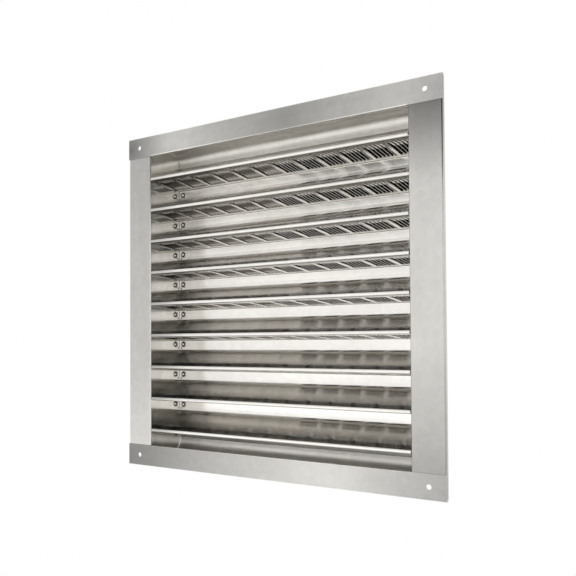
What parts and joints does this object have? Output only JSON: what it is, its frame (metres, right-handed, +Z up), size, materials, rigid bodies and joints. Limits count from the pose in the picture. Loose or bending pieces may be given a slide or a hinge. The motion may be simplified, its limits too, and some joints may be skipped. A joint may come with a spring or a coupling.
{
  "type": "wall louver",
  "caption": "Square flanged wall louver of folded galvanised sheet, with fixed round-nosed blades, slotted strips under them and a short sleeve for the wall opening.",
  "frame": {"origin": "middle of the face and of the screw pattern, on the front plane of the head and sill flanges", "axes": "+X to the right seen from the front, +Y into the wall, +Z up"},
  "size_m": [0.4064, 0.07, 0.4064],
  "materials": {
    "frame_sheet": "galvanised steel sheet, satin",
    "blade_sheet": "galvanised steel sheet, bright"
  },
  "bodies": {
    "root": {"head_rail": "frame_sheet", "sill_rail": "frame_sheet", "left_jamb": "frame_sheet", "right_jamb": "frame_sheet", "blade_1": "blade_sheet", "blade_2": "blade_sheet", "blade_3": "blade_sheet", "blade_4": "blade_sheet", "blade_5": "blade_sheet", "blade_6": "blade_sheet", "blade_7": "blade_sheet", "blade_8": "blade_sheet", "blade_9": "blade_sheet"}
  },
  "joints": []
}
